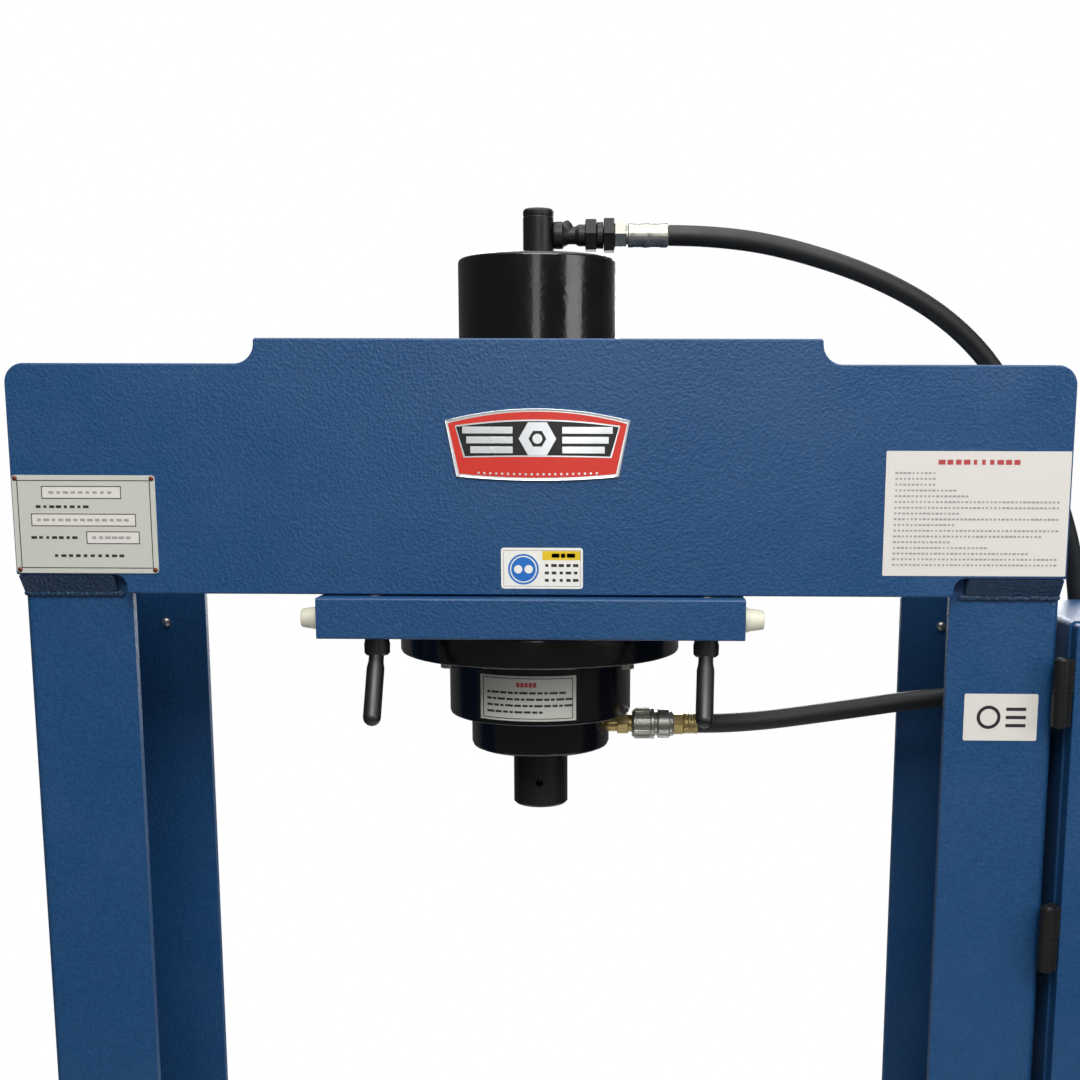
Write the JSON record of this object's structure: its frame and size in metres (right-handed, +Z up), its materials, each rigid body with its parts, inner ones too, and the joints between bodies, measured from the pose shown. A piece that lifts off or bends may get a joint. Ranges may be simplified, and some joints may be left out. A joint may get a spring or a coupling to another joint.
{
  "type": "hydraulic shop press",
  "caption": "H-frame hydraulic press: cylinder carriage rolling under a two-plate head, pinned table with V-blocks, and a power unit cabinet beside the right leg.",
  "frame": {"origin": "on the floor, midway between the legs and between their front and rear faces", "axes": "+Z up, +X to the right seen from the front, -Y towards the operator"},
  "size_m": [1.492, 0.7, 1.897],
  "materials": {
    "blue_powder_coat": "textured satin powder coat",
    "black_gloss_paint": "gloss",
    "black_oxide_steel": "blackened",
    "ground_steel": "ground",
    "zinc_plated_steel": "bright zinc plate",
    "cast_steel": "as machined, oiled",
    "machine_grey_paint": "satin",
    "aluminium_alloy": "machined",
    "hose_rubber": "smooth matt",
    "seal_rubber": "matt",
    "cream_nylon": "satin",
    "black_plastic": "satin",
    "green_plastic": "gloss",
    "white_plastic": "gloss",
    "red_plastic": "gloss",
    "vinyl_label": "satin vinyl",
    "label_metal": "satin"
  },
  "bodies": {
    "frame": {"left_leg": "blue_powder_coat", "right_leg": "blue_powder_coat", "left_foot": "blue_powder_coat", "right_foot": "blue_powder_coat", "base_ties": "blue_powder_coat", "frame_bolts": "zinc_plated_steel", "front_head_plate": "blue_powder_coat", "rear_head_plate": "blue_powder_coat", "weld_beads": "blue_powder_coat", "carriage_rails": "blue_powder_coat", "cabinet_shell": "blue_powder_coat", "cabinet_mounts": "blue_powder_coat", "hinge_frame_halves": "black_oxide_steel", "hose_grommets": "hose_rubber", "oil_tank": "machine_grey_paint", "pump_motor": "machine_grey_paint", "hydraulic_pump": "cast_steel", "valve_block": "aluminium_alloy", "cabinet_fittings": "zinc_plated_steel", "name_badge": "label_metal", "data_plate": "label_metal", "warning_labels": "vinyl_label", "upper_hose": "hose_rubber", "lower_hose": "hose_rubber"},
    "carriage": {"carriage_slab": "blue_powder_coat", "roller_brackets": "blue_powder_coat", "bumpers": "cream_nylon", "cylinder_barrel": "black_gloss_paint", "cylinder_flange": "black_gloss_paint", "flange_bolts": "zinc_plated_steel", "gland_ring": "black_gloss_paint", "gland_nut": "black_gloss_paint", "rod_wiper": "seal_rubber", "top_fitting": "black_oxide_steel", "quick_coupler": "zinc_plated_steel", "hose_ferrules": "zinc_plated_steel", "notice_plate": "label_metal"},
    "roller_front_left": {"front_left_roller": "ground_steel"},
    "roller_front_right": {"front_right_roller": "ground_steel"},
    "roller_rear_left": {"rear_left_roller": "ground_steel"},
    "roller_rear_right": {"rear_right_roller": "ground_steel"},
    "ram": {"ram_rod": "black_oxide_steel", "piston": "ground_steel", "piston_seals": "seal_rubber"},
    "left_clamp": {"left_clamp_lever": "black_plastic"},
    "right_clamp": {"right_clamp_lever": "black_plastic"},
    "door": {"cabinet_door": "blue_powder_coat", "hinge_door_halves": "black_oxide_steel", "door_handle": "black_plastic", "gauge_case": "black_plastic"},
    "needle": {"gauge_needle": "aluminium_alloy"},
    "up_key": {"up_button": "green_plastic"},
    "down_key": {"down_button": "white_plastic"},
    "stop_key": {"stop_button": "red_plastic"},
    "table": {"table_beams": "blue_powder_coat", "table_spacers": "blue_powder_coat"},
    "left_pin": {"left_table_pin": "black_oxide_steel"},
    "right_pin": {"right_table_pin": "black_oxide_steel"},
    "left_block": {"left_v_block": "black_oxide_steel"},
    "right_block": {"right_v_block": "black_oxide_steel"}
  },
  "joints": [
    {"name": "carriage_slide", "type": "slide", "parent": "frame", "child": "carriage", "axis": [1, 0, 0], "range_m": [-0.177, 0.191], "deforming": ["upper_hose", "lower_hose"]},
    {"name": "ram_slide", "type": "slide", "parent": "carriage", "child": "ram", "axis": [0, 0, -1], "range_m": [0, 0.2]},
    {"name": "front_left_roller_spin", "type": "hinge", "parent": "carriage", "child": "roller_front_left", "pos_m": [-0.167, -0.11725, 1.6024], "axis": [0, 1, 0], "range_deg": [-343, 369]},
    {"name": "front_right_roller_spin", "type": "hinge", "parent": "carriage", "child": "roller_front_right", "pos_m": [0.153, -0.11725, 1.6024], "axis": [0, 1, 0], "range_deg": [-343, 369]},
    {"name": "rear_left_roller_spin", "type": "hinge", "parent": "carriage", "child": "roller_rear_left", "pos_m": [-0.167, 0.11725, 1.6024], "axis": [0, 1, 0], "range_deg": [-343, 369]},
    {"name": "rear_right_roller_spin", "type": "hinge", "parent": "carriage", "child": "roller_rear_right", "pos_m": [0.153, 0.11725, 1.6024], "axis": [0, 1, 0], "range_deg": [-343, 369]},
    {"name": "left_clamp_turn", "type": "hinge", "parent": "carriage", "child": "left_clamp", "pos_m": [-0.169, -0.14, 1.4485], "axis": [0, 0, 1], "range_deg": [-90, 90]},
    {"name": "right_clamp_turn", "type": "hinge", "parent": "carriage", "child": "right_clamp", "pos_m": [0.174, -0.14, 1.4485], "axis": [0, 0, 1], "range_deg": [-90, 90]},
    {"name": "cabinet_door_swing", "type": "hinge", "parent": "frame", "child": "door", "pos_m": [0.541, -0.148, 1.127], "axis": [0, 0, -1], "range_deg": [0, 110]},
    {"name": "gauge_needle_turn", "type": "hinge", "parent": "door", "child": "needle", "pos_m": [0.752, -0.166, 1.346], "axis": [0, 1, 0], "range_deg": [0, 270], "stiffness_Nm_per_rad": 0.0005},
    {"name": "up_button_press", "type": "slide", "parent": "door", "child": "up_key", "axis": [0, 1, 0], "range_m": [0, 0.005], "stiffness_N_per_m": 600},
    {"name": "down_button_press", "type": "slide", "parent": "door", "child": "down_key", "axis": [0, 1, 0], "range_m": [0, 0.005], "stiffness_N_per_m": 600},
    {"name": "stop_button_press", "type": "slide", "parent": "door", "child": "stop_key", "axis": [0, 1, 0], "range_m": [0, 0.005], "stiffness_N_per_m": 600},
    {"name": "table_lift", "type": "slide", "parent": "frame", "child": "table", "axis": [0, 0, 1], "range_m": [0, 0.44]},
    {"name": "left_pin_pull", "type": "slide", "parent": "frame", "child": "left_pin", "axis": [0, -1, 0], "range_m": [0, 0.3]},
    {"name": "right_pin_pull", "type": "slide", "parent": "frame", "child": "right_pin", "axis": [0, -1, 0], "range_m": [0, 0.3]},
    {"name": "left_block_slide", "type": "slide", "parent": "table", "child": "left_block", "axis": [1, 0, 0], "range_m": [-0.25, 0.04]},
    {"name": "right_block_slide", "type": "slide", "parent": "table", "child": "right_block", "axis": [1, 0, 0], "range_m": [-0.04, 0.25]}
  ],
  "couplings": [
    {"joint": "front_left_roller_spin", "follows": "carriage_slide", "rad_per_m": 33.333},
    {"joint": "front_right_roller_spin", "follows": "carriage_slide", "rad_per_m": 33.333},
    {"joint": "rear_left_roller_spin", "follows": "carriage_slide", "rad_per_m": 33.333},
    {"joint": "rear_right_roller_spin", "follows": "carriage_slide", "rad_per_m": 33.333}
  ]
}
